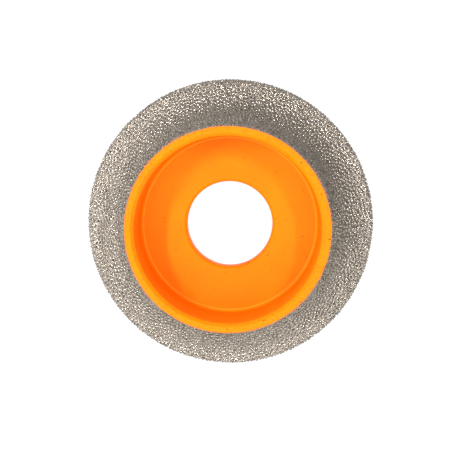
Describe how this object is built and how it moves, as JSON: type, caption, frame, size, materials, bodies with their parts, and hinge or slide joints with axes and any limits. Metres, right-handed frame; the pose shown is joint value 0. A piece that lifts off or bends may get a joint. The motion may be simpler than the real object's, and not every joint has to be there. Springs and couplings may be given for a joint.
{
  "type": "diamond grinding wheel",
  "caption": "Cup-shaped diamond profile wheel: painted steel body with a pocket, web and arbor bore, and brazed diamond grit on its edge, cove and waist.",
  "frame": {"origin": "centre of the back face, on the wheel's axis", "axes": "+Z along the wheel's axis, from the machine side towards the open pocket; X and Y are any two radial directions, because the wheel is round"},
  "size_m": [0.075, 0.075, 0.025],
  "materials": {
    "painted_steel": "thick sprayed orange enamel, satin, with a few specks and soft turning marks under it",
    "nickel_braze": "frozen braze fillets, satin, warm grey",
    "diamond_grains": "coarse grains filmed with braze, from warm grey to pale glints, with dark pits between them"
  },
  "bodies": {
    "root": {"steel_body": "painted_steel", "braze_layer": "nickel_braze", "diamond_grit": "diamond_grains"}
  },
  "joints": []
}
